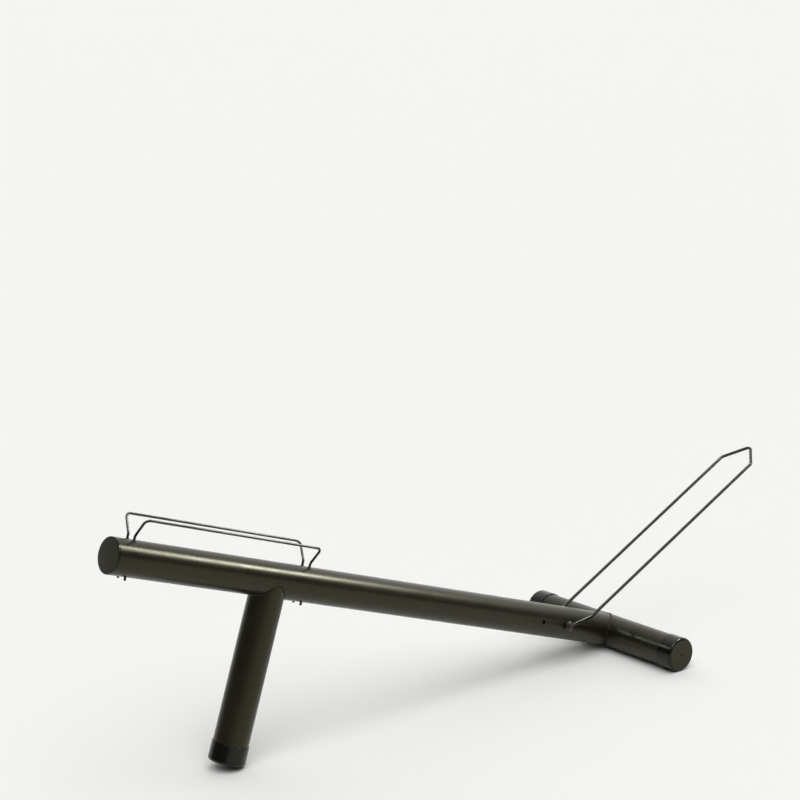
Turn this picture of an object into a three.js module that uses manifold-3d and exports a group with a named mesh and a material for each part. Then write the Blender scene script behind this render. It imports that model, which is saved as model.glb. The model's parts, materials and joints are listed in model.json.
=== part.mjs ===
// Free-standing bicycle display stand: a sloping round tube on a drop leg and a rear crossbar,
// two bent wires that hold the front wheel, and a pivoted rod hoop that leans on the rear tyre.
// Millimetres, +Z up, the bicycle faces -X, the floor is at Z = 0.
import * as THREE from 'three';
import { mergeVertices } from 'three/addons/utils/BufferGeometryUtils.js';
import Module from 'manifold-3d';

const wasm = await Module();
wasm.setup();

// Tube stock, the same for the backbone, the leg and the crossbar
const TUBE_R = 36;
const TUBE_WALL = 2;
const TUBE_SIDES = 48;

// Sides of the small round parts and holes
const FASTENER_SIDES = 24;
const WASHER_SIDES = 32;
const WIRE_HOLE_SIDES = 16;

// How far a cutting tool runs past the wall that it opens
const OVERCUT = 1;

// Main stations. Lengths run along the tubes, which meet at right angles.
const BACKBONE_LENGTH = 1355; // crossbar axis to the front plug's face
const LEG_STATION = 973; // crossbar axis to the leg axis
const LEG_LENGTH = 372; // backbone axis to the foot's sole
const CROSSBAR_LENGTH = 462; // over both caps

// Running gap between neighbouring pieces
const GAP = 0.3;

// Sleeve caps on the leg and the crossbar
const CAP_R = 37.8;
const CAP_SLEEVE = 40;
const CAP_END = 4;
const CAP_EDGE_R = 4;
const CAP_VENT_R = 1.4;
const CAP_LIP = 0.6;

// Plug in the front end
const PLUG_FLANGE = 3;
const PLUG_DOME = 1.2;
const PLUG_DEPTH = 22;
const PLUG_WALL = 2.2;
const PLUG_FACE_R = 34; // where the domed face meets the rounded rim
const PLUG_RIM_H = 1.4;
const PLUG_LEAD = 1; // chamfer of the skirt's inner end

// How far the weld beads stand off the tubes
const WELD_SIZE = 2.4;

// Front wheel wires, mirror images of each other
const WIRE_R = 2.5;
const WIRE_FRONT = -1315; // station of the front feet
const WIRE_REAR = -893; // station of the rear feet
const WIRE_FOOT_Y = 12;
const WIRE_RAIL_Y = 36;
const WIRE_RAIL_Z = 80;
const WIRE_KNEE_Z = 45; // where a foot starts to lean outwards
const WIRE_STUB = 5; // how far a foot shows under the backbone
const WIRE_BEND_R = 11;
const WIRE_WELD_R = 4.6;
const WIRE_WELD_H = 2.6;
const WIRE_WELD_LIP = 0.6;

// Rear hoop and its pivot
const ROD_R = 3.5;
const EYE_SECTION_SIDES = 10;
const PIVOT_X = -165;
const SPARE_HOLE_X = -239;
const BOLT_R = 4;
const HOLE_R = BOLT_R + GAP;
const HOOP_Y = 45.5; // half the distance between the two straight legs
const HOOP_KNEE = [-108.5, 29.5]; // station and height where the rod turns up
const HOOP_SHOULDER = [291.5, 439.5]; // where the rod turns in over the tyre
const HOOP_PEAK = 54; // how far the peak stands beyond the shoulders
const HOOP_BEND_R = 10;
const WASHER_R = 8.5;
const WASHER_T = 1.6;
const HEX_FLATS = 13;
const HEAD_H = 5.3;
const NUT_H = 6.5;
const NUT_COLLAR_H = 1.6;
const NUT_COLLAR_R = HEX_FLATS / 2 - 0.4;
const BOLT_TAIL = 3;

// ---------------------------------------------------------------- solids

function solid(geometry) {
  const bare = geometry.index ? geometry.toNonIndexed() : geometry.clone();
  bare.deleteAttribute('normal');
  bare.deleteAttribute('uv');
  const merged = mergeVertices(bare, 1e-4);
  const vertProperties = new Float32Array(merged.attributes.position.array);
  const triVerts = new Uint32Array(merged.index.array);
  return new wasm.Manifold(new wasm.Mesh({ numProp: 3, vertProperties, triVerts }));
}

function geometryOf(manifold) {
  const mesh = manifold.getMesh();
  const geometry = new THREE.BufferGeometry();
  geometry.setAttribute('position', new THREE.Float32BufferAttribute(mesh.vertProperties, 3));
  geometry.setIndex([...mesh.triVerts]);
  return geometry;
}

// A round bar along X, Y or Z from one station to another, centred on the other two coordinates
function bar(axis, radius, from, to, centre = [0, 0, 0], sides = TUBE_SIDES) {
  const geometry = new THREE.CylinderGeometry(radius, radius, to - from, sides);
  geometry.translate(0, (from + to) / 2, 0);
  if (axis === 'x') geometry.rotateZ(-Math.PI / 2);
  if (axis === 'z') geometry.rotateX(Math.PI / 2);
  geometry.translate(...centre);
  return solid(geometry);
}

function turned(profile, sides) {
  const points = profile.map(([r, y]) => new THREE.Vector2(r, y));
  return new THREE.LatheGeometry(points, sides);
}

// Points of a quarter round, from angle a0 to a1 in degrees
function arc(cx, cy, r, a0, a1, steps) {
  return Array.from({ length: steps + 1 }, (_, i) => {
    const a = THREE.MathUtils.degToRad(a0 + ((a1 - a0) * i) / steps);
    return [cx + r * Math.cos(a), cy + r * Math.sin(a)];
  });
}

// ---------------------------------------------------------------- bent rod

// Straight runs between corners, each corner rounded by an arc
function roundedRoute(corners, bendRadius, arcSteps) {
  const route = [corners[0]];
  for (let i = 1; i < corners.length - 1; i += 1) {
    const before = corners[i - 1].clone().sub(corners[i]).normalize();
    const after = corners[i + 1].clone().sub(corners[i]).normalize();
    const half = before.angleTo(after) / 2;
    const reach = bendRadius / Math.tan(half);
    const start = corners[i].clone().addScaledVector(before, reach);
    const inward = before.clone().add(after).normalize();
    const centre = corners[i].clone().addScaledVector(inward, bendRadius / Math.sin(half));
    const spoke = start.clone().sub(centre);
    const axis = before.clone().negate().cross(after).normalize();
    for (let k = 0; k <= arcSteps; k += 1) {
      const turn = ((Math.PI - 2 * half) * k) / arcSteps;
      route.push(spoke.clone().applyAxisAngle(axis, turn).add(centre));
    }
  }
  route.push(corners[corners.length - 1]);
  return route;
}

// A curve that passes through its points one step at a time, so straight runs take a single step
class SteppedPath extends THREE.Curve {
  constructor(points) {
    super();
    this.points = points;
  }

  getPoint(t, target = new THREE.Vector3()) {
    const place = t * (this.points.length - 1);
    const i = Math.min(Math.floor(place), this.points.length - 2);
    return target.lerpVectors(this.points[i], this.points[i + 1], place - i);
  }

  getPointAt(u, target) {
    return this.getPoint(u, target);
  }

  getTangentAt(u, target = new THREE.Vector3()) {
    const last = this.points.length - 1;
    const i = Math.round(u * last);
    const before = this.points[Math.max(i - 1, 0)];
    const here = this.points[i];
    const after = this.points[Math.min(i + 1, last)];
    const arriving = here.clone().sub(before).normalize();
    const leaving = after.clone().sub(here).normalize();
    return target.copy(arriving.add(leaving)).normalize();
  }
}

function bentRod(corners, radius, bendRadius, arcSteps) {
  const route = roundedRoute(corners, bendRadius, arcSteps);
  const section = new THREE.Shape();
  section.absarc(0, 0, radius, 0, 2 * Math.PI);
  return solid(new THREE.ExtrudeGeometry(section, {
    steps: route.length - 1,
    curveSegments: 6,
    extrudePath: new SteppedPath(route),
  }));
}

// ---------------------------------------------------------------- tubes

// Solid stock of the three tubes, a little larger where it stands for a neighbour's clearance
const backboneStock = (radius) => bar('x', radius, -BACKBONE_LENGTH, TUBE_R);
const crossbarStock = (radius) => bar('y', radius, -CROSSBAR_LENGTH / 2, CROSSBAR_LENGTH / 2);
const legStock = (radius, top = 0) => bar('z', radius, -LEG_LENGTH, top, [-LEG_STATION, 0, 0]);

function pivotHoles(station) {
  return bar('y', HOLE_R, -2 * TUBE_R, 2 * TUBE_R, [station, 0, 0], FASTENER_SIDES);
}

function wireHoles() {
  const holes = [];
  for (const station of [WIRE_FRONT, WIRE_REAR]) {
    for (const side of [-1, 1]) {
      const centre = [station, side * WIRE_FOOT_Y, 0];
      holes.push(bar('z', WIRE_R + GAP, -2 * TUBE_R, 2 * TUBE_R, centre, WIRE_HOLE_SIDES));
    }
  }
  return holes;
}

function backboneTube() {
  const front = -BACKBONE_LENGTH + PLUG_FLANGE + GAP;
  const outside = bar('x', TUBE_R, front, 0);
  const inside = bar('x', TUBE_R - TUBE_WALL, front - OVERCUT, OVERCUT);
  let tube = outside.subtract(inside).subtract(crossbarStock(TUBE_R + GAP));
  for (const hole of [pivotHoles(PIVOT_X), pivotHoles(SPARE_HOLE_X), ...wireHoles()]) {
    tube = tube.subtract(hole);
  }
  return geometryOf(tube);
}

function crossbarTube() {
  const half = CROSSBAR_LENGTH / 2 - CAP_END - GAP;
  const outside = bar('y', TUBE_R, -half, half);
  const inside = bar('y', TUBE_R - TUBE_WALL, -half - OVERCUT, half + OVERCUT);
  return geometryOf(outside.subtract(inside));
}

function legTube() {
  const foot = -LEG_LENGTH + CAP_END + GAP;
  const centre = [-LEG_STATION, 0, 0];
  const outside = bar('z', TUBE_R, foot, 0, centre);
  const inside = bar('z', TUBE_R - TUBE_WALL, foot - OVERCUT, OVERCUT, centre);
  return geometryOf(outside.subtract(inside).subtract(backboneStock(TUBE_R + GAP)));
}

// A bead lies just outside both tubes, along the line where they meet
function legWeld() {
  const reach = TUBE_R + WELD_SIZE;
  const bead = backboneStock(reach).intersect(legStock(reach));
  const tubes = backboneStock(TUBE_R + GAP).add(legStock(TUBE_R + GAP, TUBE_R));
  return geometryOf(bead.subtract(tubes));
}

function crossbarWeld() {
  const reach = TUBE_R + WELD_SIZE;
  const bead = bar('x', reach, -2 * TUBE_R, 0).intersect(crossbarStock(reach));
  const tubes = backboneStock(TUBE_R + GAP).add(crossbarStock(TUBE_R + GAP));
  return geometryOf(bead.subtract(tubes));
}

// ---------------------------------------------------------------- caps

// Cap with its outer face at y = 0 and its sleeve towards +y
function sleeveCap() {
  const bore = TUBE_R + GAP;
  const profile = [
    [CAP_VENT_R, 0],
    ...arc(CAP_R - CAP_EDGE_R, CAP_EDGE_R, CAP_EDGE_R, -90, 0, 4),
    [CAP_R, CAP_SLEEVE - CAP_LIP],
    [CAP_R - CAP_LIP, CAP_SLEEVE],
    [bore, CAP_SLEEVE],
    [bore, CAP_END],
    [CAP_VENT_R, CAP_END],
    [CAP_VENT_R, 0],
  ];
  return turned(profile, TUBE_SIDES);
}

// Plug with its flange's outer rim at y = 0 and its skirt towards +y, inside the tube
function endPlug() {
  const skirt = TUBE_R - TUBE_WALL - GAP;
  const profile = [
    [0, -PLUG_DOME],
    [PLUG_FACE_R / 3, -PLUG_DOME * 8 / 9],
    [PLUG_FACE_R * 2 / 3, -PLUG_DOME * 5 / 9],
    [PLUG_FACE_R, 0],
    [(PLUG_FACE_R + TUBE_R * 3) / 4, PLUG_RIM_H / 3],
    [TUBE_R, PLUG_RIM_H],
    [TUBE_R, PLUG_FLANGE],
    [skirt, PLUG_FLANGE],
    [skirt, PLUG_DEPTH - 2 * PLUG_LEAD],
    [skirt - PLUG_LEAD, PLUG_DEPTH],
    [skirt - PLUG_WALL, PLUG_DEPTH],
    [skirt - PLUG_WALL, PLUG_FLANGE],
    [0, PLUG_FLANGE],
  ];
  return turned(profile, TUBE_SIDES);
}

// ---------------------------------------------------------------- front wheel wires

function cradleWire(side) {
  const foot = side * WIRE_FOOT_Y;
  const rail = side * WIRE_RAIL_Y;
  const end = -TUBE_R - WIRE_STUB;
  const corners = [
    [WIRE_FRONT, foot, end],
    [WIRE_FRONT, foot, WIRE_KNEE_Z],
    [WIRE_FRONT, rail, WIRE_RAIL_Z],
    [WIRE_REAR, rail, WIRE_RAIL_Z],
    [WIRE_REAR, foot, WIRE_KNEE_Z],
    [WIRE_REAR, foot, end],
  ].map((corner) => new THREE.Vector3(...corner));
  return geometryOf(bentRod(corners, WIRE_R, WIRE_BEND_R, 6));
}

// Small collar of weld round a wire, on top of the backbone
function wireWeld(station, side) {
  const centre = [station, side * WIRE_FOOT_Y, 0];
  const height = Math.sqrt(TUBE_R ** 2 - WIRE_FOOT_Y ** 2) + WIRE_WELD_H;
  const profile = [
    [WIRE_R + GAP, 0],
    [WIRE_WELD_R, 0],
    [WIRE_WELD_R, height - WIRE_WELD_H],
    [WIRE_R + GAP + WIRE_WELD_LIP, height],
    [WIRE_R + GAP, height],
    [WIRE_R + GAP, 0],
  ];
  const collar = turned(profile, WIRE_HOLE_SIDES);
  collar.rotateX(Math.PI / 2);
  collar.translate(...centre);
  return geometryOf(solid(collar).subtract(backboneStock(TUBE_R + GAP)));
}

// ---------------------------------------------------------------- hoop and pivot

const EYE_R = HOLE_R + ROD_R;
const WASHER_IN_Y = TUBE_R + GAP;
const EYE_Y = WASHER_IN_Y + WASHER_T + GAP + ROD_R;
const WASHER_OUT_Y = EYE_Y + ROD_R + GAP;
const HEAD_Y = WASHER_OUT_Y + WASHER_T + GAP;

function rearHoop() {
  const [kneeX, kneeZ] = HOOP_KNEE;
  const [shoulderX, shoulderZ] = HOOP_SHOULDER;
  const legX = shoulderX - kneeX;
  const legZ = shoulderZ - kneeZ;
  const legLength = Math.hypot(legX, legZ);
  const peakX = shoulderX + (HOOP_PEAK * legX) / legLength;
  const peakZ = shoulderZ + (HOOP_PEAK * legZ) / legLength;
  const toKnee = new THREE.Vector3(kneeX - PIVOT_X, 0, kneeZ).normalize();
  const startX = PIVOT_X + toKnee.x * EYE_R;
  const startZ = toKnee.z * EYE_R;
  const corners = [
    [startX, -EYE_Y, startZ],
    [kneeX, -HOOP_Y, kneeZ],
    [shoulderX, -HOOP_Y, shoulderZ],
    [peakX, 0, peakZ],
    [shoulderX, HOOP_Y, shoulderZ],
    [kneeX, HOOP_Y, kneeZ],
    [startX, EYE_Y, startZ],
  ].map((corner) => new THREE.Vector3(...corner));
  let hoop = bentRod(corners, ROD_R, HOOP_BEND_R, 6);
  for (const side of [-1, 1]) {
    const eye = new THREE.TorusGeometry(EYE_R, ROD_R, EYE_SECTION_SIDES, FASTENER_SIDES);
    eye.rotateX(Math.PI / 2);
    eye.translate(PIVOT_X, side * EYE_Y, 0);
    hoop = hoop.add(solid(eye));
  }
  return geometryOf(hoop.subtract(pivotHoles(PIVOT_X)));
}

// A hexagonal bar along Y
function hexBar(from, to) {
  return bar('y', HEX_FLATS / Math.sqrt(3), from, to, [0, 0, 0], 6);
}

function pivotBolt() {
  const tail = HEAD_Y + NUT_H + NUT_COLLAR_H + BOLT_TAIL;
  const shank = bar('y', BOLT_R, -HEAD_Y - OVERCUT, tail, [0, 0, 0], FASTENER_SIDES);
  return geometryOf(hexBar(-HEAD_Y - HEAD_H, -HEAD_Y).add(shank));
}

function pivotNut() {
  const top = NUT_H + NUT_COLLAR_H;
  const collar = bar('y', NUT_COLLAR_R, NUT_H - OVERCUT, top, [0, 0, 0], FASTENER_SIDES);
  const bore = bar('y', HOLE_R, -OVERCUT, top + OVERCUT, [0, 0, 0], FASTENER_SIDES);
  return geometryOf(hexBar(0, NUT_H).add(collar).subtract(bore));
}

// Washer with one face at y = 0 and the other at y = WASHER_T
function washer() {
  return turned([
    [HOLE_R, 0],
    [WASHER_R, 0],
    [WASHER_R, WASHER_T],
    [HOLE_R, WASHER_T],
    [HOLE_R, 0],
  ], WASHER_SIDES);
}

// ---------------------------------------------------------------- assembly

const blackPaint = new THREE.MeshStandardMaterial({ color: 0x24231e, roughness: 0.38, metalness: 0.1 });
const weldPaint = new THREE.MeshStandardMaterial({ color: 0x201f1b, roughness: 0.5, metalness: 0.1 });
const blackPlastic = new THREE.MeshStandardMaterial({ color: 0x1c1c19, roughness: 0.3, metalness: 0 });
const blackRod = new THREE.MeshStandardMaterial({ color: 0x1a1917, roughness: 0.25, metalness: 0.1 });
const steel = new THREE.MeshStandardMaterial({ color: 0x6a6a66, roughness: 0.3, metalness: 0.9 });

// Everything is set out in the frame of the backbone, which then tips up at its front end
const stand = new THREE.Group();

function add(name, geometry, material, position = [0, 0, 0], rotation = [0, 0, 0]) {
  const mesh = new THREE.Mesh(geometry, material);
  mesh.name = name;
  mesh.position.set(...position);
  mesh.rotation.set(...rotation);
  stand.add(mesh);
}

const QUARTER = Math.PI / 2;
add('backbone_tube', backboneTube(), blackPaint);
add('leg_tube', legTube(), blackPaint);
add('crossbar_tube', crossbarTube(), blackPaint);
add('leg_weld', legWeld(), weldPaint);
add('crossbar_weld', crossbarWeld(), weldPaint);
add('front_end_plug', endPlug(), blackPlastic, [-BACKBONE_LENGTH, 0, 0], [0, 0, -QUARTER]);
add('leg_foot_cap', sleeveCap(), blackPlastic, [-LEG_STATION, 0, -LEG_LENGTH], [QUARTER, 0, 0]);
add('crossbar_cap_left', sleeveCap(), blackPlastic, [0, -CROSSBAR_LENGTH / 2, 0]);
add('crossbar_cap_right', sleeveCap(), blackPlastic, [0, CROSSBAR_LENGTH / 2, 0], [0, 0, 2 * QUARTER]);

for (const [sideName, side] of [['left', -1], ['right', 1]]) {
  add(`cradle_wire_${sideName}`, cradleWire(side), blackRod);
  for (const [endName, station] of [['front', WIRE_FRONT], ['rear', WIRE_REAR]]) {
    add(`wire_weld_${sideName}_${endName}`, wireWeld(station, side), weldPaint);
  }
  const inner = side < 0 ? -WASHER_IN_Y - WASHER_T : WASHER_IN_Y;
  const outer = side < 0 ? -WASHER_OUT_Y - WASHER_T : WASHER_OUT_Y;
  add(`pivot_washer_inner_${sideName}`, washer(), steel, [PIVOT_X, inner, 0]);
  add(`pivot_washer_outer_${sideName}`, washer(), steel, [PIVOT_X, outer, 0]);
}

add('rear_hoop', rearHoop(), blackRod);
add('pivot_bolt', pivotBolt(), steel, [PIVOT_X, 0, 0]);
add('pivot_nut', pivotNut(), steel, [PIVOT_X, HEAD_Y, 0]);

// Slope at which the crossbar's caps and the rear edge of the foot stand on one floor
const footX = LEG_STATION - (CAP_R - CAP_EDGE_R);
const footZ = LEG_LENGTH - CAP_EDGE_R;
const slope = Math.atan2(footZ, footX) - Math.asin((CAP_R - CAP_EDGE_R) / Math.hypot(footX, footZ));
stand.rotation.y = slope;

const bicycleStand = new THREE.Group();
bicycleStand.add(stand);
bicycleStand.updateMatrixWorld(true);
const extent = new THREE.Box3().setFromObject(bicycleStand, true);
const middle = extent.getCenter(new THREE.Vector3());
bicycleStand.position.set(-middle.x, 0, -extent.min.z);

export default bicycleStand;
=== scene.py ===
"""Free-standing bicycle display stand: a sloping painted tube on a drop leg and a capped crossbar,
two bent wires for the front wheel and a pivoted rod hoop for the rear one. Metres, bicycle facing -X."""

import json
import math
from collections import namedtuple

import bmesh
import bpy
from mathutils import Matrix, Vector, noise


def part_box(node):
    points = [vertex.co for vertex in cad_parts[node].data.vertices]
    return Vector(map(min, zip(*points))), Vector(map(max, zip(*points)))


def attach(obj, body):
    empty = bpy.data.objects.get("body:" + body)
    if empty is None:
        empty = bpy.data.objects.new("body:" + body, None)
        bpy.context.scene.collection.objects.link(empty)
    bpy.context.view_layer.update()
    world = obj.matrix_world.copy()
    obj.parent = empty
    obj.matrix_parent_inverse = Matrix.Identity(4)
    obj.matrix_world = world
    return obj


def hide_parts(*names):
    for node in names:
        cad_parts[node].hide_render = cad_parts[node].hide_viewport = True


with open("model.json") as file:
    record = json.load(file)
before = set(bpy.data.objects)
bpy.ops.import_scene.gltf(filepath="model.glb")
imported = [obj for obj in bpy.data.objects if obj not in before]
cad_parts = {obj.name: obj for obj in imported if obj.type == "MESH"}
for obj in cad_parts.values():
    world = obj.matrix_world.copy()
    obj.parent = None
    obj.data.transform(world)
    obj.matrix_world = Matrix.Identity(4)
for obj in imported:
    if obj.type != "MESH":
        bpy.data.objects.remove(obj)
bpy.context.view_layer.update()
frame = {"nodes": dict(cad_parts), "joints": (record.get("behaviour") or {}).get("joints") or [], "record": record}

MM = 0.001

# Fineness of the meshes
TUBE_SIDES = 144
CAP_SIDES = 128
ROD_SIDES = 32
HEX_SIDES = 96
WASHER_SIDES = 96
COLLAR_SIDES = 36
BEND_STEPS = 14
EYE_STEPS = 40
FILLET_STEP = 11  # degrees
SHARP_ANGLE = 50  # degrees between faces from which their edge stays sharp

PATTERN_PLACE = "pattern_place"  # attribute that holds each point's place in its piece's own frame

OLIVE = (1, 0.94, 0.58)  # cast of the black paint's and the matt plastic's reflections

# Tube stock
TUBE_WALL = 2 * MM
EDGE = 0.5 * MM  # rounding of sawn tube ends and drilled holes
GAP = 0.3 * MM

# Caps and plug
CAP_EDGE = 5.5 * MM
CAP_END = 4 * MM
CAP_VENT = 1.9 * MM
CAP_LIP = 0.6 * MM
PLUG_FLANGE = 3 * MM
PLUG_DOME = 1.2 * MM
PLUG_SKIRT_WALL = 2.2 * MM

# Weld beads
BEAD_R = 1.8 * MM
BEAD_PITCH = 2.6 * MM
BEAD_SECTION = 20
BEAD_LENGTH = 1.25  # of the saddle, against the tube's circumference
RIPPLE_STEPS = 8  # rings in each ripple
SADDLE_SOFTNESS = 0.1  # rounds the saddle's two peaks
COLLAR_R = 4.6 * MM
COLLAR_H = 2.6 * MM

# Front wheel wires
WIRE_FOOT_Y = 12 * MM
WIRE_KNEE_Z = 45 * MM
WIRE_BEND = 11 * MM

# Rear hoop
SPARE_HOLE_STEP = 74 * MM  # spare pivot hole, ahead of the used one
HOOP_KNEE = (-108.5 * MM, 29.5 * MM)
HOOP_SHOULDER = (291.5 * MM, 439.5 * MM)
HOOP_PEAK = 54 * MM
HOOP_LEG_Y = 45.5 * MM
HOOP_BEND = 10 * MM
NECK_BEND = 8 * MM  # reverse bend that centres each eye on its rod
EYE_TURN = 283  # degrees of rod wrapped round the bolt

# Fasteners
BOLT_R = 4 * MM
HOLE_R = BOLT_R + GAP
HEX_FLATS = 13 * MM
NUT_COLLAR_H = 1.6 * MM
THREAD_PITCH = 1.25 * MM
THREAD_DEPTH = 0.6 * MM
THREAD_LENGTH = 16 * MM
THREAD_STEPS = 10  # rings in each turn of the thread
THREAD_TIP = 0.9 * MM  # chamfer at the bolt's end
HEX_CROWN = 0.96  # round crown inside the chamfer, against the flats
HEX_CORNER = 0.985  # radius left at the corners
HEX_SLOPE = 30  # degrees of the chamfer

# Studio
FLOOR_R = 90
BACKDROP = 0.9
SUN_POWER = 2.3
SUN_WIDTH = 60  # degrees

# Camera
SENSOR_WIDTH = 36
CAMERA_FAR = 300
CAMERA_PLACE = Vector((-2.7766, -3.3132, 1.6518))
CAMERA_AZIMUTH = 38.21
CAMERA_DOWN = 13.13
CAMERA_ROLL = -1.66
CAMERA_LENS = 95.83


# ---------------------------------------------------------------- the stand's own frame

def stand_frame():
    """X runs along the backbone towards the rear and Z along the leg, from the crossbar's middle."""
    low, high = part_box("crossbar_tube")
    sole = next(m for m in frame["record"]["mounts"] if m["name"] == "foot_sole")
    up = -Vector(sole["axis"]).normalized()
    across = Vector((0, 1, 0))
    turn = Matrix((across.cross(up), across, up)).transposed()
    return Matrix.Translation((low + high) / 2) @ turn.to_4x4()


STAND = stand_frame()
TO_STAND = STAND.inverted()


def extent(node):
    """Lowest and highest corner of a CAD node in the stand's frame."""
    points = [TO_STAND @ v.co for v in frame["nodes"][node].data.vertices]
    low = Vector([min(p[i] for p in points) for i in range(3)])
    high = Vector([max(p[i] for p in points) for i in range(3)])
    return low, high


def middle(node):
    low, high = extent(node)
    return (low + high) / 2


TUBE_R = extent("crossbar_tube")[1].z
BACKBONE_FRONT = extent("backbone_tube")[0].x
CROSSBAR_HALF = extent("crossbar_tube")[1].y
LEG_X = middle("leg_tube").x
LEG_FOOT = extent("leg_tube")[0].z
PIVOT_X = (TO_STAND @ Vector(frame["joints"][0]["pos_m"])).x
EYE_Y = (extent("pivot_washer_inner_right")[1].y + extent("pivot_washer_outer_right")[0].y) / 2
ROD_R = EYE_Y - extent("pivot_washer_inner_right")[1].y - GAP
EYE_R = HOLE_R + ROD_R
WIRE_LOW, WIRE_HIGH = extent("cradle_wire_right")
WIRE_R = WIRE_FOOT_Y - WIRE_LOW.y


def axes(x, y, z, origin=(0, 0, 0)):
    """Place of a piece whose local axes point along these axes of the stand."""
    return Matrix.Translation(origin) @ Matrix((x, y, z)).transposed().to_4x4()


# A branch tube leaves a through tube along local X. The through tube's axis is local Z.
LEG_PLACE = axes((0, 0, -1), (0, 1, 0), (1, 0, 0), (LEG_X, 0, 0))
BACKBONE_PLACE = axes((-1, 0, 0), (0, 0, 1), (0, 1, 0))
CROSSBAR_PLACE = axes((0, 1, 0), (-1, 0, 0), (0, 0, 1))


# ---------------------------------------------------------------- mesh helpers

def ring(bm, points):
    return [bm.verts.new(p) for p in points]


def band(bm, a, b, material=0):
    """Quads between two closed rings with as many points."""
    for i in range(len(a)):
        j = (i + 1) % len(a)
        bm.faces.new((a[i], a[j], b[j], b[i])).material_index = material


def fan(bm, rim, centre, material=0):
    tip = bm.verts.new(centre)
    for i in range(len(rim)):
        bm.faces.new((rim[i], rim[(i + 1) % len(rim)], tip)).material_index = material


def around(count):
    return [2 * math.pi * k / count for k in range(count)]


def rounded(corners):
    """Profile points (x, y) from corners (x, y, radius), each rounded by an arc of its radius."""
    out = [corners[0][:2]]
    for before, here, after in zip(corners, corners[1:], corners[2:]):
        point, radius = Vector(here[:2]), here[2]
        if radius == 0:
            out.append(here[:2])
            continue
        back = (Vector(before[:2]) - point).normalized()
        ahead = (Vector(after[:2]) - point).normalized()
        half = back.angle(ahead) / 2
        centre = point + (back + ahead).normalized() * (radius / math.sin(half))
        spoke = point + back * (radius / math.tan(half)) - centre
        sweep = math.copysign(math.pi - 2 * half, spoke.cross(-back))
        steps = max(3, round(math.degrees(abs(sweep)) / FILLET_STEP))
        for k in range(steps + 1):
            a = sweep * k / steps
            x = spoke.x * math.cos(a) - spoke.y * math.sin(a)
            y = spoke.x * math.sin(a) + spoke.y * math.cos(a)
            out.append((centre.x + x, centre.y + y))
    out.append(corners[-1][:2])
    return out


def turned(profile, sides, face_end=0):
    """A solid of revolution about local Z from (radius, height) points. The profile starts and ends on
    the axis or closes on itself, and bands before index face_end take the second material."""
    bm = bmesh.new()
    closed = profile[0][0] > 0
    rings = []
    for radius, height in profile:
        if radius > 0:
            points = [(radius * math.cos(a), radius * math.sin(a), height) for a in around(sides)]
            rings.append(ring(bm, points))
    if closed:
        rings.append(rings[0])
    else:
        fan(bm, rings[0], (0, 0, profile[0][1]), 1 if face_end else 0)
        fan(bm, rings[-1], (0, 0, profile[-1][1]))
    for k, (a, b) in enumerate(zip(rings, rings[1:])):
        band(bm, a, b, 1 if k < face_end else 0)
    return bm


def piece(name, bm, materials, nodes, place=None, body="stand"):
    """Makes a bmesh, modelled in a local frame, into a finished piece that stands for its CAD nodes.
    Its points keep their local place in an attribute, which the materials' patterns follow."""
    bmesh.ops.recalc_face_normals(bm, faces=bm.faces)
    mesh = bpy.data.meshes.new(name)
    bm.to_mesh(mesh)
    bm.free()
    local = mesh.attributes.new(PATTERN_PLACE, "FLOAT_VECTOR", "POINT")
    for vertex, entry in zip(mesh.vertices, local.data):
        entry.vector = vertex.co
    mesh.transform(STAND @ place if place else STAND)
    mesh.shade_smooth()
    mesh.set_sharp_from_angle(angle=math.radians(SHARP_ANGLE))
    for material in materials:
        mesh.materials.append(material)
    made = bpy.data.objects.new(name, mesh)
    bpy.context.scene.collection.objects.link(made)
    shading = made.modifiers.new("even_shading", "WEIGHTED_NORMAL")
    shading.keep_sharp = True
    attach(made, body)
    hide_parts(*nodes)
    return made


# ---------------------------------------------------------------- tubes

# A drilled hole: side is the angle from local Z of the wall that it goes through, and offset is how far
# its axis passes from the tube's
Hole = namedtuple("Hole", "station side offset radius")
COLUMN = 2 * math.pi / TUBE_SIDES


def wall_point(station, angle, depth):
    """A point of the wall, at an angle from local Z towards local Y, this deep under the outside."""
    radius = TUBE_R - depth
    return Vector((station, radius * math.sin(angle), radius * math.cos(angle)))


def cope(angle, depth):
    """Where a branch tube's wall meets the through tube of the same size."""
    return math.sqrt((TUBE_R + GAP) ** 2 - ((TUBE_R - depth) * math.sin(angle)) ** 2)


def square_cut(station):
    return lambda angle, depth: station


class Block:
    """The cells of the wall's grid that make way for one hole."""

    def __init__(self, hole):
        self.hole = hole
        self.angle = hole.side + math.asin(hole.offset / TUBE_R)
        cell = COLUMN * TUBE_R
        reach = math.ceil(hole.radius / cell) + 1
        column = round(self.angle / COLUMN)
        self.columns = range(column - reach, column + reach + 1)
        self.stations = [round(hole.station + cell * k, 7) for k in range(-reach, reach + 1)]

    def find(self, rows):
        self.rows = range(rows.index(self.stations[0]), rows.index(self.stations[-1]) + 1)
        self.cells = {(r, c % TUBE_SIDES) for r in self.rows[:-1] for c in self.columns[:-1]}

    def outline(self):
        r0, r1 = self.rows[0], self.rows[-1]
        c0, c1 = self.columns[0], self.columns[-1]
        path = [(r0, c) for c in range(c0, c1)] + [(r, c1) for r in range(r0, r1)]
        path += [(r1, c) for c in range(c1, c0, -1)] + [(r, c0) for r in range(r1, r0, -1)]
        return path

    def ring(self, bm, rows, radius, depth):
        """The hole's edge at one depth, with a point in line with each point of the outline."""
        points = []
        for r, c in self.outline():
            turn = math.atan2(TUBE_R * (c * COLUMN - self.angle), rows[r] - self.hole.station)
            lateral = self.hole.offset + radius * math.sin(turn)
            angle = self.hole.side + math.asin(lateral / (TUBE_R - depth))
            points.append(wall_point(self.hole.station + radius * math.cos(turn), angle, depth))
        return ring(bm, points)


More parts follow.
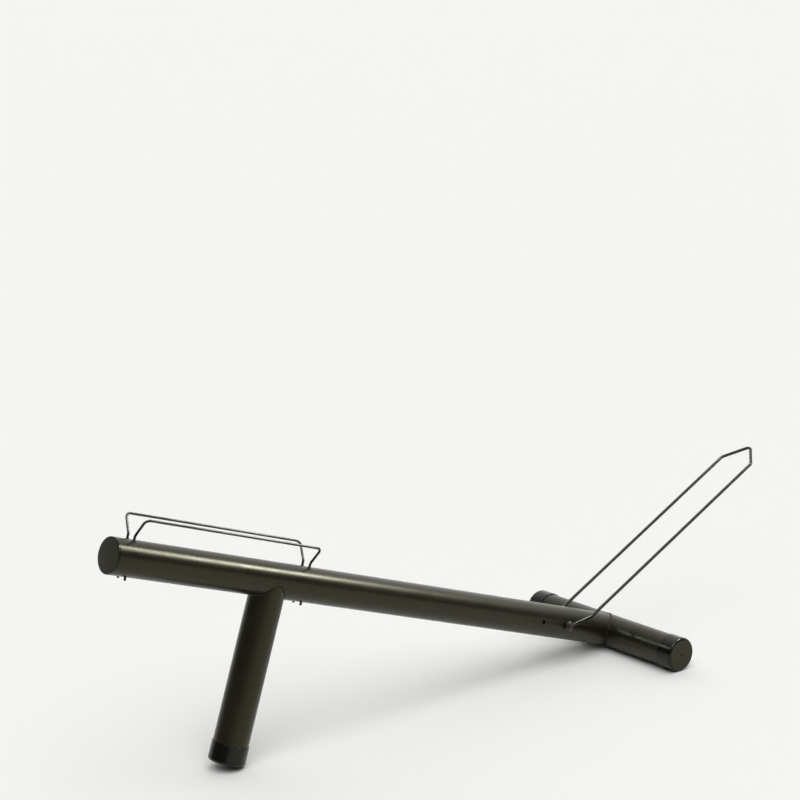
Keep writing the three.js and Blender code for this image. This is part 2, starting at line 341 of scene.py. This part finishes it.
def tube(start, end, holes=()):
    """A tube along local X with its ends cut as start and end say and its holes drilled."""
    bm = bmesh.new()
    blocks = [Block(hole) for hole in holes]
    rows = [None, *sorted({s for block in blocks for s in block.stations}), None]
    for block in blocks:
        block.find(rows)
    cut_away = set().union(*[block.cells for block in blocks])

    def end_ring(inset, depth, cut, inward):
        points = []
        for c in range(TUBE_SIDES):
            angle = c * COLUMN
            points.append(wall_point(cut(angle, depth) + inward * inset, angle, depth))
        return ring(bm, points)

    skins = []
    for depth in (0, TUBE_WALL):
        skin = [end_ring(EDGE, depth, start, 1)]
        for station in rows[1:-1]:
            skin.append(ring(bm, [wall_point(station, c * COLUMN, depth) for c in range(TUBE_SIDES)]))
        skin.append(end_ring(EDGE, depth, end, -1))
        for r in range(len(rows) - 1):
            for c in range(TUBE_SIDES):
                if (r, c) not in cut_away:
                    d = (c + 1) % TUBE_SIDES
                    bm.faces.new((skin[r][c], skin[r][d], skin[r + 1][d], skin[r + 1][c]))
        skins.append(skin)

    # Rounded rims at the two ends
    slight = 0.3 * EDGE
    rim = ((slight, slight), (0, EDGE), (0, TUBE_WALL - EDGE), (slight, TUBE_WALL - slight))
    for row, cut, inward in ((0, start, 1), (-1, end, -1)):
        rings = [end_ring(inset, depth, cut, inward) for inset, depth in rim]
        for a, b in zip([skins[0][row], *rings], [*rings, skins[1][row]]):
            band(bm, a, b)

    # Rounded edges and walls of the holes
    for block in blocks:
        steps = ((EDGE * 1.6, 0), (EDGE, 0), (slight, slight), (0, EDGE), (0, TUBE_WALL))
        rings = [block.ring(bm, rows, block.hole.radius + grow, depth) for grow, depth in steps]
        outer, inner = [[skin[r][c % TUBE_SIDES] for r, c in block.outline()] for skin in skins]
        for a, b in zip([outer, *rings], [*rings, inner]):
            band(bm, a, b)
    loose = [v for v in bm.verts if not v.link_faces]
    bmesh.ops.delete(bm, geom=loose, context="VERTS")
    return bm


def backbone_holes():
    """Pivot holes right through from side to side, and the wires' holes from top to bottom."""
    holes = []
    for station in (-PIVOT_X, -PIVOT_X + SPARE_HOLE_STEP):
        holes += [Hole(station, side, 0, HOLE_R) for side in (0, math.pi)]
    for station in (-WIRE_LOW.x - WIRE_R, -WIRE_HIGH.x + WIRE_R):
        for side in (math.pi / 2, -math.pi / 2):
            holes += [Hole(station, side, y, WIRE_R + GAP) for y in (WIRE_FOOT_Y, -WIRE_FOOT_Y)]
    return holes


def tubes(paint):
    backbone = tube(cope, square_cut(-BACKBONE_FRONT), backbone_holes())
    piece("painted_backbone", backbone, [paint], ["backbone_tube"], BACKBONE_PLACE)
    leg = tube(cope, square_cut(-LEG_FOOT))
    piece("painted_leg", leg, [paint], ["leg_tube"], LEG_PLACE)
    crossbar = tube(square_cut(-CROSSBAR_HALF), square_cut(CROSSBAR_HALF))
    piece("painted_crossbar", crossbar, [paint], ["crossbar_tube"], CROSSBAR_PLACE)


# ---------------------------------------------------------------- welds

def saddle_bead():
    """A rippled fillet bead round the foot of a branch tube, in the branch's local frame."""
    bm = bmesh.new()
    ripples = round(2 * math.pi * TUBE_R * BEAD_LENGTH / BEAD_PITCH)
    steps = ripples * RIPPLE_STEPS
    rings = []
    for k in range(steps):
        a = 2 * math.pi * k / steps
        rise = math.sqrt(math.cos(a) ** 2 + SADDLE_SOFTNESS ** 2)
        centre = Vector((TUBE_R * rise, TUBE_R * math.sin(a), TUBE_R * math.cos(a)))
        out = Vector((rise, 2 * math.sin(a), math.cos(a))).normalized()
        slope = -math.cos(a) * math.sin(a) / rise
        along = Vector((slope, math.cos(a), -math.sin(a))).normalized()
        side = along.cross(out).normalized()
        wander = noise.noise(centre * 90) * 0.25 * MM
        points = []
        for b in around(BEAD_SECTION):
            crescent = math.cos(b)
            phase = (k / steps * ripples + 0.55 * crescent) % 1.0
            scale = 0.9 + 0.1 * math.sin(math.pi * phase)
            size = BEAD_R * scale + 0.2 * MM * noise.noise(centre * 300 + out * b)
            points.append(centre + out * (wander + size * crescent) + side * size * math.sin(b) * 1.15)
        rings.append(ring(bm, points))
    for a, b in zip(rings, [*rings[1:], rings[0]]):
        band(bm, a, b)
    return bm


def wire_collar(seed):
    """A small lump of weld round a wire where it enters the backbone, with the wire along local Z."""
    bm = bmesh.new()
    wander = Vector((seed * 3.1, seed * 1.7, 0))
    profile = [(0.5, -0.9), (1.0, -0.5), (0.98, 0.1), (0.86, 0.42), (0.66, 0.8), (0.57, 1.0), (0.5, 1.0)]
    rings = []
    for radius, height in profile:
        points = []
        for a in around(COLLAR_SIDES):
            out = Vector((math.cos(a), math.sin(a), 0))
            lump = 1 + 0.16 * noise.noise(out * 1.6 + wander) * (1 if radius > 0.6 else 0)
            reach = COLLAR_R * radius * lump
            base = math.sqrt(TUBE_R ** 2 - (WIRE_FOOT_Y + reach * out.y) ** 2)
            rise = COLLAR_H * height * (1 + 0.2 * noise.noise(out * 1.3 - wander))
            points.append((reach * out.x, reach * out.y, base + rise))
        rings.append(ring(bm, points))
    for a, b in zip(rings, [*rings[1:], rings[0]]):
        band(bm, a, b)
    return bm


def welds(paint):
    piece("leg_bead", saddle_bead(), [paint], ["leg_weld"], LEG_PLACE)
    piece("crossbar_bead", saddle_bead(), [paint], ["crossbar_weld"], BACKBONE_PLACE)
    stations = {"front": WIRE_LOW.x + WIRE_R, "rear": WIRE_HIGH.x - WIRE_R}
    seed = 0
    for side_name, side in (("left", -1), ("right", 1)):
        for end_name, station in stations.items():
            seed += 1
            place = axes((side, 0, 0), (0, side, 0), (0, 0, 1), (station, side * WIRE_FOOT_Y, 0))
            name = f"wire_bead_{side_name}_{end_name}"
            node = f"wire_weld_{side_name}_{end_name}"
            piece(name, wire_collar(seed), [paint], [node], place)


# ---------------------------------------------------------------- caps and plug

def sleeve_cap(radius, sleeve):
    """Moulded cap with its outer face at local z = 0 and its sleeve towards +z."""
    bore = TUBE_R + GAP
    dimple = CAP_VENT + 0.5 * MM
    profile = rounded([
        (CAP_VENT, 0.3 * MM, 0),
        (dimple, 0, 0.1 * MM),
        (radius - CAP_EDGE - 1.5 * MM, 0, 0),
        (radius, 0, CAP_EDGE),
        (radius, sleeve, CAP_LIP),
        (bore, sleeve, 0.3 * MM),
        (bore, CAP_END, 0.5 * MM),
        (CAP_VENT, CAP_END, 0.2 * MM),
        (CAP_VENT, CAP_END / 2, 0),
    ])
    face_end = sum(1 for r, z in profile if z < 0.31 * MM and r < radius - CAP_EDGE)
    return turned(profile, CAP_SIDES, face_end)


def end_plug(depth):
    """Domed plug with its flange's rim at local z = 0 and its skirt towards +z, inside the tube."""
    skirt = TUBE_R - TUBE_WALL - GAP
    dome = [(TUBE_R * f, -PLUG_DOME * (1 - f * f)) for f in (0, 0.12, 0.25, 0.4, 0.55, 0.7, 0.82, 0.9)]
    profile = rounded([
        *[(r, z, 0) for r, z in dome],
        (TUBE_R - 1.6 * MM, 0, 0),
        (TUBE_R, 0, 1.2 * MM),
        (TUBE_R, PLUG_FLANGE, 0.25 * MM),
        (skirt, PLUG_FLANGE, 0.3 * MM),
        (skirt, depth, 1.5 * MM),
        (skirt - PLUG_SKIRT_WALL, depth, 0.5 * MM),
        (skirt - PLUG_SKIRT_WALL, PLUG_FLANGE + 1 * MM, 1 * MM),
        (0, PLUG_FLANGE + 1 * MM, 0),
    ])
    return turned(profile, CAP_SIDES, len(dome) - 1)


def caps(side_plastic, face_plastic):
    plastics = [side_plastic, face_plastic]
    low, high = extent("leg_foot_cap")
    radius, sleeve = (high.y - low.y) / 2, high.z - low.z
    places = {
        "foot_cap": ("leg_foot_cap", axes((1, 0, 0), (0, 1, 0), (0, 0, 1), (LEG_X, 0, low.z))),
        "left_cap": (
            "crossbar_cap_left",
            axes((1, 0, 0), (0, 0, -1), (0, 1, 0), (0, extent("crossbar_cap_left")[0].y, 0)),
        ),
        "right_cap": (
            "crossbar_cap_right",
            axes((1, 0, 0), (0, 0, 1), (0, -1, 0), (0, extent("crossbar_cap_right")[1].y, 0)),
        ),
    }
    for name, (node, place) in places.items():
        piece(name, sleeve_cap(radius, sleeve), plastics, [node], place)
    low, high = extent("front_end_plug")
    plug = end_plug(high.x - low.x - PLUG_DOME)
    place = axes((0, 1, 0), (0, 0, 1), (1, 0, 0), (low.x + PLUG_DOME, 0, 0))
    piece("front_plug", plug, plastics, ["front_end_plug"], place)


# ---------------------------------------------------------------- bent rods

def rounded_route(corners, bend):
    """Straight runs between corners, each corner rounded by an arc."""
    route = [corners[0]]
    for before, here, after in zip(corners, corners[1:], corners[2:]):
        back, ahead = (before - here).normalized(), (after - here).normalized()
        half = back.angle(ahead) / 2
        centre = here + (back + ahead).normalized() * (bend / math.sin(half))
        spoke = here + back * (bend / math.tan(half)) - centre
        axis = (-back).cross(ahead).normalized()
        for k in range(BEND_STEPS + 1):
            turn = (math.pi - 2 * half) * k / BEND_STEPS
            route.append(Matrix.Rotation(turn, 3, axis) @ spoke + centre)
    route.append(corners[-1])
    return route


def rod(route, radius):
    """A round rod along a route, with chamfered sawn ends."""
    bm = bmesh.new()
    chamfer = radius * 0.2
    first = (route[1] - route[0]).normalized()
    last = (route[-2] - route[-1]).normalized()
    stations = [(route[0], radius - chamfer), (route[0] + first * chamfer, radius)]
    stations += [(p, radius) for p in route[1:-1]]
    stations += [(route[-1] + last * chamfer, radius), (route[-1], radius - chamfer)]
    points = [p for p, _ in stations]
    side = first.orthogonal().normalized()
    rings = []
    for i, (point, size) in enumerate(stations):
        ahead = (points[min(i + 1, len(points) - 1)] - point).normalized()
        behind = (point - points[max(i - 1, 0)]).normalized()
        along = (ahead + behind).normalized()
        side = (side - along * side.dot(along)).normalized()
        other = along.cross(side)
        spokes = [side * math.cos(a) + other * math.sin(a) for a in around(ROD_SIDES)]
        rings.append(ring(bm, [point + spoke * size for spoke in spokes]))
    for a, b in zip(rings, rings[1:]):
        band(bm, a, b)
    fan(bm, rings[0], points[0])
    fan(bm, rings[-1], points[-1])
    return bm


def cradle_wires(enamel):
    front, rear = WIRE_LOW.x + WIRE_R, WIRE_HIGH.x - WIRE_R
    rail_y, rail_z = WIRE_HIGH.y - WIRE_R, WIRE_HIGH.z - WIRE_R
    for name, side in (("left", -1), ("right", 1)):
        foot, rail = side * WIRE_FOOT_Y, side * rail_y
        corners = [
            (front, foot, WIRE_LOW.z),
            (front, foot, WIRE_KNEE_Z),
            (front, rail, rail_z),
            (rear, rail, rail_z),
            (rear, foot, WIRE_KNEE_Z),
            (rear, foot, WIRE_LOW.z),
        ]
        route = rounded_route([Vector(c) for c in corners], WIRE_BEND)
        piece(f"{name}_wire", rod(route, WIRE_R), [enamel], [f"cradle_wire_{name}"])


def eye_route(toward):
    """Centre line of an eye bent round the pivot, from its sawn end to the neck, in the plane of the
    rod, where toward is the direction in which the rod leaves."""
    neck = math.sqrt(EYE_R ** 2 + 2 * EYE_R * NECK_BEND)
    meet = math.asin(NECK_BEND / (NECK_BEND + EYE_R))
    heading = math.atan2(toward.y, toward.x)
    route = []
    for k in range(EYE_STEPS + 1):
        a = heading - meet - math.radians(EYE_TURN) * (1 - k / EYE_STEPS)
        route.append((EYE_R * math.cos(a), EYE_R * math.sin(a)))
    centre = Vector((neck, -NECK_BEND))
    start = math.pi - meet
    for k in range(1, BEND_STEPS + 1):
        a = start + (math.pi / 2 - start) * k / BEND_STEPS
        x, y = centre.x + NECK_BEND * math.cos(a), centre.y + NECK_BEND * math.sin(a)
        route.append((
            x * math.cos(heading) - y * math.sin(heading),
            x * math.sin(heading) + y * math.cos(heading),
        ))
    return route


def rear_hoop(enamel):
    knee, shoulder = Vector(HOOP_KNEE), Vector(HOOP_SHOULDER)
    peak = shoulder + (shoulder - knee).normalized() * HOOP_PEAK
    pivot = Vector((PIVOT_X, 0))
    eye = [pivot + Vector(p) for p in eye_route((knee - pivot).normalized())]
    ends = []
    for side in (-1, 1):
        ends.append([Vector((p.x, side * EYE_Y, p.y)) for p in eye])
    corners = [
        ends[0][-1],
        Vector((knee.x, -HOOP_LEG_Y, knee.y)),
        Vector((shoulder.x, -HOOP_LEG_Y, shoulder.y)),
        Vector((peak.x, 0, peak.y)),
        Vector((shoulder.x, HOOP_LEG_Y, shoulder.y)),
        Vector((knee.x, HOOP_LEG_Y, knee.y)),
        ends[1][-1],
    ]
    route = ends[0][:-1] + rounded_route(corners, HOOP_BEND) + ends[1][-2::-1]
    piece("hoop_rod", rod(route, ROD_R), [enamel], ["rear_hoop"], body="hoop")


# ---------------------------------------------------------------- fasteners

def hex_radius(angle):
    """Radius of the hexagon at an angle, with its corners just taken off."""
    sixth = math.pi / 3
    flat = (angle % sixth) - sixth / 2
    return min(HEX_FLATS / 2 / math.cos(flat), HEX_FLATS / math.sqrt(3) * HEX_CORNER)


def hex_ring(bm, height, chamfer=0):
    """A ring of the hexagon, bent by a cone where the chamfer (+1 up, -1 down) cuts it."""
    cone = HEX_FLATS / 2 * HEX_CROWN
    points = []
    for a in around(HEX_SIDES):
        r = hex_radius(a)
        drop = (r - cone) * math.tan(math.radians(HEX_SLOPE)) * chamfer
        points.append((r * math.cos(a), r * math.sin(a), height - drop))
    return ring(bm, points)


def round_ring(bm, radius, height):
    return ring(bm, [(radius * math.cos(a), radius * math.sin(a), height) for a in around(HEX_SIDES)])


def pivot_bolt(head, length):
    """Bolt with its head's underside at local z = 0, its head towards +z and its tail towards -z."""
    bm = bmesh.new()
    crown = HEX_FLATS / 2 * HEX_CROWN
    rings = [
        round_ring(bm, crown - 0.5 * MM, head),
        round_ring(bm, crown, head - 0.02 * MM),
        hex_ring(bm, head, 1),
        hex_ring(bm, 0.5 * MM),
        round_ring(bm, HEX_FLATS / 2 - 0.25 * MM, 0.3 * MM),
        round_ring(bm, HEX_FLATS / 2 - 0.3 * MM, 0),
        round_ring(bm, BOLT_R, 0),
        round_ring(bm, BOLT_R, THREAD_LENGTH - length),
    ]
    steps = round(THREAD_LENGTH / THREAD_PITCH * THREAD_STEPS)
    for k in range(1, steps + 1):
        z = (THREAD_LENGTH - 0.02 * MM) * (1 - k / steps) - length
        points = []
        for a in around(HEX_SIDES):
            phase = (z / THREAD_PITCH + a / (2 * math.pi)) % 1.0
            cut = THREAD_DEPTH * (1 - abs(2 * phase - 1)) * min(1, 4 * k / steps)
            radius = min(BOLT_R - cut, BOLT_R - THREAD_TIP + (z + length))
            points.append((radius * math.cos(a), radius * math.sin(a), z))
        rings.append(ring(bm, points))
    for a, b in zip(rings, rings[1:]):
        band(bm, a, b)
    fan(bm, rings[0], (0, 0, head))
    fan(bm, rings[-1], (0, 0, -length))
    return bm


def lock_nut(height):
    """Nut with its seat at local z = 0 and its rolled collar towards +z."""
    bm = bmesh.new()
    hexagon = height - NUT_COLLAR_H
    collar = HEX_FLATS / 2 - 0.4 * MM
    rings = [
        round_ring(bm, HOLE_R + 0.4 * MM, 0),
        round_ring(bm, HEX_FLATS / 2 * HEX_CROWN, 0),
        hex_ring(bm, 0, -1),
        hex_ring(bm, hexagon, 1),
        round_ring(bm, HEX_FLATS / 2 * HEX_CROWN, hexagon + 0.05 * MM),
        round_ring(bm, collar, hexagon + 0.1 * MM),
        round_ring(bm, collar, height - 0.6 * MM),
        round_ring(bm, collar - 0.2 * MM, height - 0.2 * MM),
        round_ring(bm, collar - 0.7 * MM, height),
        round_ring(bm, HOLE_R + 0.5 * MM, height - 0.1 * MM),
        round_ring(bm, HOLE_R, height - 0.4 * MM),
        round_ring(bm, HOLE_R, 0.4 * MM),
    ]
    for a, b in zip(rings, [*rings[1:], rings[0]]):
        band(bm, a, b)
    return bm


def washer(radius, thickness):
    profile = rounded([
        (HOLE_R, thickness / 2, 0),
        (HOLE_R, 0, 0.25 * MM),
        (radius, 0, 0.45 * MM),
        (radius, thickness, 0.25 * MM),
        (HOLE_R, thickness, 0.25 * MM),
        (HOLE_R, thickness * 0.52, 0),
    ])
    return turned(profile, WASHER_SIDES)


def fasteners(steel):
    for side_name in ("left", "right"):
        for where in ("inner", "outer"):
            node = f"pivot_washer_{where}_{side_name}"
            low, high = extent(node)
            place = axes((1, 0, 0), (0, 0, -1), (0, 1, 0), (PIVOT_X, low.y, 0))
            made = washer((high.x - low.x) / 2, high.y - low.y)
            piece(f"washer_{where}_{side_name}", made, [steel], [node], place)
    low, high = extent("pivot_bolt")
    seat = extent("pivot_washer_outer_left")[0].y - GAP
    place = axes((1, 0, 0), (0, 0, 1), (0, -1, 0), (PIVOT_X, seat, 0))
    bolt = pivot_bolt(seat - low.y, high.y - seat)
    piece("hex_bolt", bolt, [steel], ["pivot_bolt"], place)
    low, high = extent("pivot_nut")
    place = axes((1, 0, 0), (0, 0, -1), (0, 1, 0), (PIVOT_X, low.y, 0))
    piece("lock_nut", lock_nut(high.y - low.y), [steel], ["pivot_nut"], place)


# ---------------------------------------------------------------- materials

class Finish:
    """A Principled material that is put together from patterns in the piece's own frame."""

    def __init__(self, name, colour, roughness, metallic=0.0, gloss=0.5, tint=(1, 1, 1)):
        self.material = bpy.data.materials.new(name)
        self.material.use_nodes = True
        self.tree = self.material.node_tree
        self.shader = self.tree.nodes["Principled BSDF"]
        self.shader.inputs["Base Color"].default_value = (*colour, 1)
        self.shader.inputs["Roughness"].default_value = roughness
        self.shader.inputs["Metallic"].default_value = metallic
        self.shader.inputs["Specular IOR Level"].default_value = gloss
        self.shader.inputs["Specular Tint"].default_value = (*tint, 1)
        self.where = self.node("ShaderNodeAttribute", attribute_name=PATTERN_PLACE).outputs["Vector"]
        self.bump = None

    def node(self, kind, **settings):
        made = self.tree.nodes.new(kind)
        for key, value in settings.items():
            setattr(made, key, value)
        return made

    def link(self, source, target):
        self.tree.links.new(source, target)

    def cloud(self, scale, detail=3.0, rough=0.55, stretch=(1, 1, 1), distortion=0.0):
        """Noise from 0 to 1, stretched along the local axes."""
        mapping = self.node("ShaderNodeMapping")
        mapping.inputs["Scale"].default_value = stretch
        texture = self.node("ShaderNodeTexNoise")
        texture.inputs["Scale"].default_value = scale
        texture.inputs["Detail"].default_value = detail
        texture.inputs["Roughness"].default_value = rough
        texture.inputs["Distortion"].default_value = distortion
        self.link(self.where, mapping.inputs["Vector"])
        self.link(mapping.outputs["Vector"], texture.inputs["Vector"])
        return texture.outputs["Fac"]

    def span(self, source, low, high, to_low, to_high):
        """Source between low and high becomes a value between to_low and to_high."""
        made = self.node("ShaderNodeMapRange")
        values = (low, high, to_low, to_high)
        for name, value in zip(("From Min", "From Max", "To Min", "To Max"), values):
            made.inputs[name].default_value = value
        self.link(source, made.inputs["Value"])
        return made.outputs["Result"]

    def math(self, operation, a, b):
        made = self.node("ShaderNodeMath", operation=operation)
        for socket, value in zip(made.inputs, (a, b)):
            if isinstance(value, (int, float)):
                socket.default_value = value
            else:
                self.link(value, socket)
        return made.outputs["Value"]

    def blend(self, factor, a, b):
        """Colour a where the factor is 0 and b where it is 1. Either may be a colour or a socket."""
        made = self.node("ShaderNodeMix", data_type="RGBA")
        self.link(factor, made.inputs["Factor"])
        for socket, value in ((made.inputs["A"], a), (made.inputs["B"], b)):
            if isinstance(value, tuple):
                socket.default_value = (*value, 1)
            else:
                self.link(value, socket)
        return made.outputs["Result"]

    def emboss(self, height, strength, distance):
        made = self.node("ShaderNodeBump")
        made.inputs["Strength"].default_value = strength
        made.inputs["Distance"].default_value = distance
        self.link(height, made.inputs["Height"])
        if self.bump:
            self.link(self.bump, made.inputs["Normal"])
        self.bump = made.outputs["Normal"]
        self.link(self.bump, self.shader.inputs["Normal"])

    def colour(self, source):
        self.link(source, self.shader.inputs["Base Color"])

    def roughness(self, source):
        self.link(source, self.shader.inputs["Roughness"])


def powder_coat():
    """Satin black powder coat: orange peel, a fine grain, faint cloudiness, dust and hairline rubs."""
    finish = Finish("powder_coat", (0.008, 0.0075, 0.006), 0.3, gloss=0.38, tint=OLIVE)
    cloudy = finish.cloud(9, 4, stretch=(0.5, 1, 1))
    dark, pale = (0.0068, 0.0062, 0.0040), (0.0100, 0.0091, 0.0060)
    tone = finish.blend(finish.span(cloudy, 0.3, 0.7, 0, 1), dark, pale)
    dust = finish.span(finish.cloud(900, 2, 0.7), 0.68, 0.76, 0, 0.35)
    rubs = finish.span(finish.cloud(160, 3, 0.6, (0.03, 1, 1), 0.4), 0.7, 0.78, 0, 0.2)
    marks = finish.math("MAXIMUM", dust, rubs)
    finish.colour(finish.blend(marks, tone, (0.035, 0.034, 0.026)))
    base = finish.span(finish.cloud(22, 5, 0.6), 0.3, 0.7, 0.25, 0.33)
    finish.roughness(finish.math("ADD", base, finish.math("MULTIPLY", marks, 0.15)))
    finish.emboss(finish.cloud(420, 2, 0.4), 0.08, 0.0003)
    finish.emboss(finish.cloud(2600, 2, 0.5), 0.08, 0.0001)
    return finish.material


def weld_coat_painted_shade():
    """The same coat over a rippled bead, a little rougher and thinner on the crests. Its colour is painted shade:
    darker than the tube's coat, to stand in for the shade in the joint's crease.
    """
    finish = Finish("weld_coat_painted_shade", (0.006, 0.0057, 0.0045), 0.5, gloss=0.25, tint=OLIVE)
    mottle = finish.cloud(420, 4)
    # Painted shade: these tones sit below the tube coat's, so the bead shows as the dark shade line in the joint's
    # crease.
    dark, pale = (0.004, 0.0038, 0.003), (0.009, 0.0086, 0.0068)
    finish.colour(finish.blend(finish.span(mottle, 0.35, 0.7, 0, 1), dark, pale))
    finish.roughness(finish.span(mottle, 0.3, 0.7, 0.42, 0.58))
    finish.emboss(finish.cloud(700, 4, 0.6), 0.35, 0.0003)
    return finish.material


def cap_gloss():
    """Shiny moulded polyethylene with soft sink marks, fine draw lines and a few scuffs."""
    finish = Finish("cap_gloss", (0.005, 0.005, 0.004), 0.2, gloss=0.3, tint=(1, 1, 0.8))
    scuffs = finish.span(finish.cloud(120, 4, 0.65, (1, 1, 0.25), 0.8), 0.62, 0.76, 0, 1)
    finish.colour(finish.blend(scuffs, (0.004, 0.004, 0.0034), (0.010, 0.010, 0.0085)))
    soft = finish.span(finish.cloud(45, 3), 0.3, 0.7, 0.15, 0.22)
    finish.roughness(finish.math("ADD", soft, finish.math("MULTIPLY", scuffs, 0.16)))
    finish.emboss(finish.cloud(60, 2), 0.25, 0.0006)
    finish.emboss(finish.cloud(1500, 3), 0.06, 0.0001)
    return finish.material


def cap_matt():
    """The spark-eroded faces of the caps: matt, finely grained and slightly dusty."""
    finish = Finish("cap_matt", (0.012, 0.0112, 0.0075), 0.5, gloss=0.36, tint=OLIVE)
    cloudy = finish.cloud(60, 5, 0.6)
    specks = finish.span(finish.cloud(1100, 2, 0.6), 0.62, 0.75, 0, 0.5)
    dark, pale = (0.010, 0.0093, 0.0060), (0.016, 0.0150, 0.0100)
    tone = finish.blend(finish.span(cloudy, 0.3, 0.7, 0, 1), dark, pale)
    finish.colour(finish.blend(specks, tone, (0.035, 0.033, 0.025)))
    finish.roughness(finish.span(cloudy, 0.3, 0.7, 0.42, 0.56))
    finish.emboss(finish.cloud(1800, 3, 0.6), 0.3, 0.00015)
    return finish.material


def rod_enamel():
    """Gloss black enamel on drawn steel rod, with a slight ripple and small rubbed spots."""
    finish = Finish("rod_enamel", (0.006, 0.0057, 0.0045), 0.14, gloss=0.5, tint=(1, 0.99, 0.85))
    rubbed = finish.span(finish.cloud(260, 4, 0.65), 0.66, 0.76, 0, 0.7)
    finish.colour(finish.blend(rubbed, (0.005, 0.0047, 0.0037), (0.025, 0.024, 0.019)))
    soft = finish.span(finish.cloud(70, 3), 0.3, 0.7, 0.12, 0.2)
    finish.roughness(finish.math("ADD", soft, finish.math("MULTIPLY", rubbed, 0.25)))
    finish.emboss(finish.cloud(180, 2), 0.08, 0.0003)
    finish.emboss(finish.cloud(1600, 2), 0.05, 0.0001)
    return finish.material


def dark_zinc():
    """Dark zinc plate with tool marks and patches of duller plating."""
    finish = Finish("dark_zinc", (0.3, 0.29, 0.27), 0.3, metallic=1.0)
    patch = finish.cloud(300, 4, 0.6)
    dark, pale = (0.05, 0.048, 0.044), (0.2, 0.19, 0.175)
    finish.colour(finish.blend(finish.span(patch, 0.35, 0.7, 0, 1), dark, pale))
    finish.roughness(finish.span(patch, 0.3, 0.7, 0.2, 0.38))
    finish.emboss(finish.cloud(900, 3, 0.6, (1, 1, 0.2)), 0.15, 0.0001)
    return finish.material


# ---------------------------------------------------------------- studio

def floor():
    """A plain pale studio floor, far larger than the view."""
    bm = bmesh.new()
    bmesh.ops.create_circle(bm, cap_ends=True, radius=FLOOR_R, segments=64)
    mesh = bpy.data.meshes.new("floor")
    bm.to_mesh(mesh)
    bm.free()
    finish = Finish("floor_paint", (0.8225, 0.8225, 0.8125), 0.85, gloss=0.1)
    mesh.materials.append(finish.material)
    ground = bpy.data.objects.new("floor", mesh)
    bpy.context.scene.collection.objects.link(ground)


def aimed(direction):
    """Turn that points a light's or camera's -Z along a direction."""
    return Vector(direction).to_track_quat("-Z", "Y").to_matrix().to_4x4()


def softbox(name, toward, distance, size, power, colour, about):
    """An area light that stands off from a point in a direction and shines back at it. It only draws
    highlights, so the floor stays even."""
    data = bpy.data.lights.new(name, "AREA")
    data.shape = "RECTANGLE"
    data.size, data.size_y = size
    data.energy = power
    data.color = colour
    direction = Vector(toward).normalized()
    lamp = bpy.data.objects.new(name, data)
    lamp.matrix_world = Matrix.Translation(about + direction * distance) @ aimed(-direction)
    lamp.visible_diffuse = False
    bpy.context.scene.collection.objects.link(lamp)


def sky():
    """The studio's walls and ceiling: pale behind and above the stand, dim on the camera's side and to
    its left, and a plain pale backdrop to the camera itself."""
    world = bpy.data.worlds.new("studio")
    bpy.context.scene.world = world
    world.use_nodes = True
    tree = world.node_tree
    background = tree.nodes["Background"]
    where = tree.nodes.new("ShaderNodeTexCoord")
    toward = tree.nodes.new("ShaderNodeVectorMath")
    toward.operation = "DOT_PRODUCT"
    toward.inputs[1].default_value = (0.67, 0.61, 0.42)
    span = tree.nodes.new("ShaderNodeMapRange")
    span.interpolation_type = "SMOOTHSTEP"
    for name, value in (("From Min", 0.1), ("From Max", 0.95), ("To Min", 0.05), ("To Max", 1.2)):
        span.inputs[name].default_value = value
    seen = tree.nodes.new("ShaderNodeLightPath")
    mix = tree.nodes.new("ShaderNodeMix")
    mix.data_type = "FLOAT"
    mix.inputs["B"].default_value = BACKDROP
    tree.links.new(where.outputs["Generated"], toward.inputs[0])
    tree.links.new(toward.outputs["Value"], span.inputs["Value"])
    tree.links.new(seen.outputs["Is Camera Ray"], mix.inputs["Factor"])
    tree.links.new(span.outputs["Result"], mix.inputs["A"])
    tree.links.new(mix.outputs["Result"], background.inputs["Strength"])
    background.inputs["Color"].default_value = (1, 1, 0.985, 1)


def lights():
    """A wide overhead lamp for the floor and the shadows, a strip that draws the highlight along the
    backbone's front, a small cool window on the crossbar, and two sparks on the hoop's knee, the bolt
    and the caps' edges."""
    sun = bpy.data.lights.new("overhead", "SUN")
    sun.energy = SUN_POWER
    sun.angle = math.radians(SUN_WIDTH)
    lamp = bpy.data.objects.new("overhead", sun)
    lamp.matrix_world = aimed((0.25, 0.42, -0.87))
    bpy.context.scene.collection.objects.link(lamp)
    front = STAND @ Vector((-1.07, 0, 0))
    knee = STAND @ Vector((PIVOT_X, 0, 0))
    bar = STAND @ Vector((0, -0.05, 0))
    softbox("strip", (0.815, -0.285, 0.508), 2.4, (0.6, 0.35), 33, (0.92, 0.95, 1), front)
    softbox("spark_right", (0.44, -0.27, 0.85), 2.5, (0.25, 0.25), 16, (1, 1, 1), knee)
    softbox("spark_left", (-0.28, -0.41, 0.86), 2.5, (0.2, 0.2), 8, (1, 1, 1), knee)
    softbox("window", (-0.545, 0.662, 0.514), 3.0, (0.3, 0.25), 4.5, (0.6, 0.8, 1), bar)


def camera():
    data = bpy.data.cameras.new("camera")
    data.sensor_width = SENSOR_WIDTH
    data.lens = CAMERA_LENS
    data.clip_end = CAMERA_FAR
    view = bpy.data.objects.new("camera", data)
    heading = Matrix.Rotation(-math.radians(CAMERA_AZIMUTH), 4, "Z")
    pitch = Matrix.Rotation(math.radians(90 - CAMERA_DOWN), 4, "X")
    roll = Matrix.Rotation(math.radians(CAMERA_ROLL), 4, "Z")
    view.matrix_world = Matrix.Translation(CAMERA_PLACE) @ heading @ pitch @ roll
    bpy.context.scene.collection.objects.link(view)
    bpy.context.scene.camera = view


camera()
floor()
sky()
lights()
bpy.context.scene.view_settings.view_transform = "Standard"

tubes(powder_coat())
welds(weld_coat_painted_shade())
caps(cap_gloss(), cap_matt())
enamel = rod_enamel()
cradle_wires(enamel)
rear_hoop(enamel)
fasteners(dark_zinc())
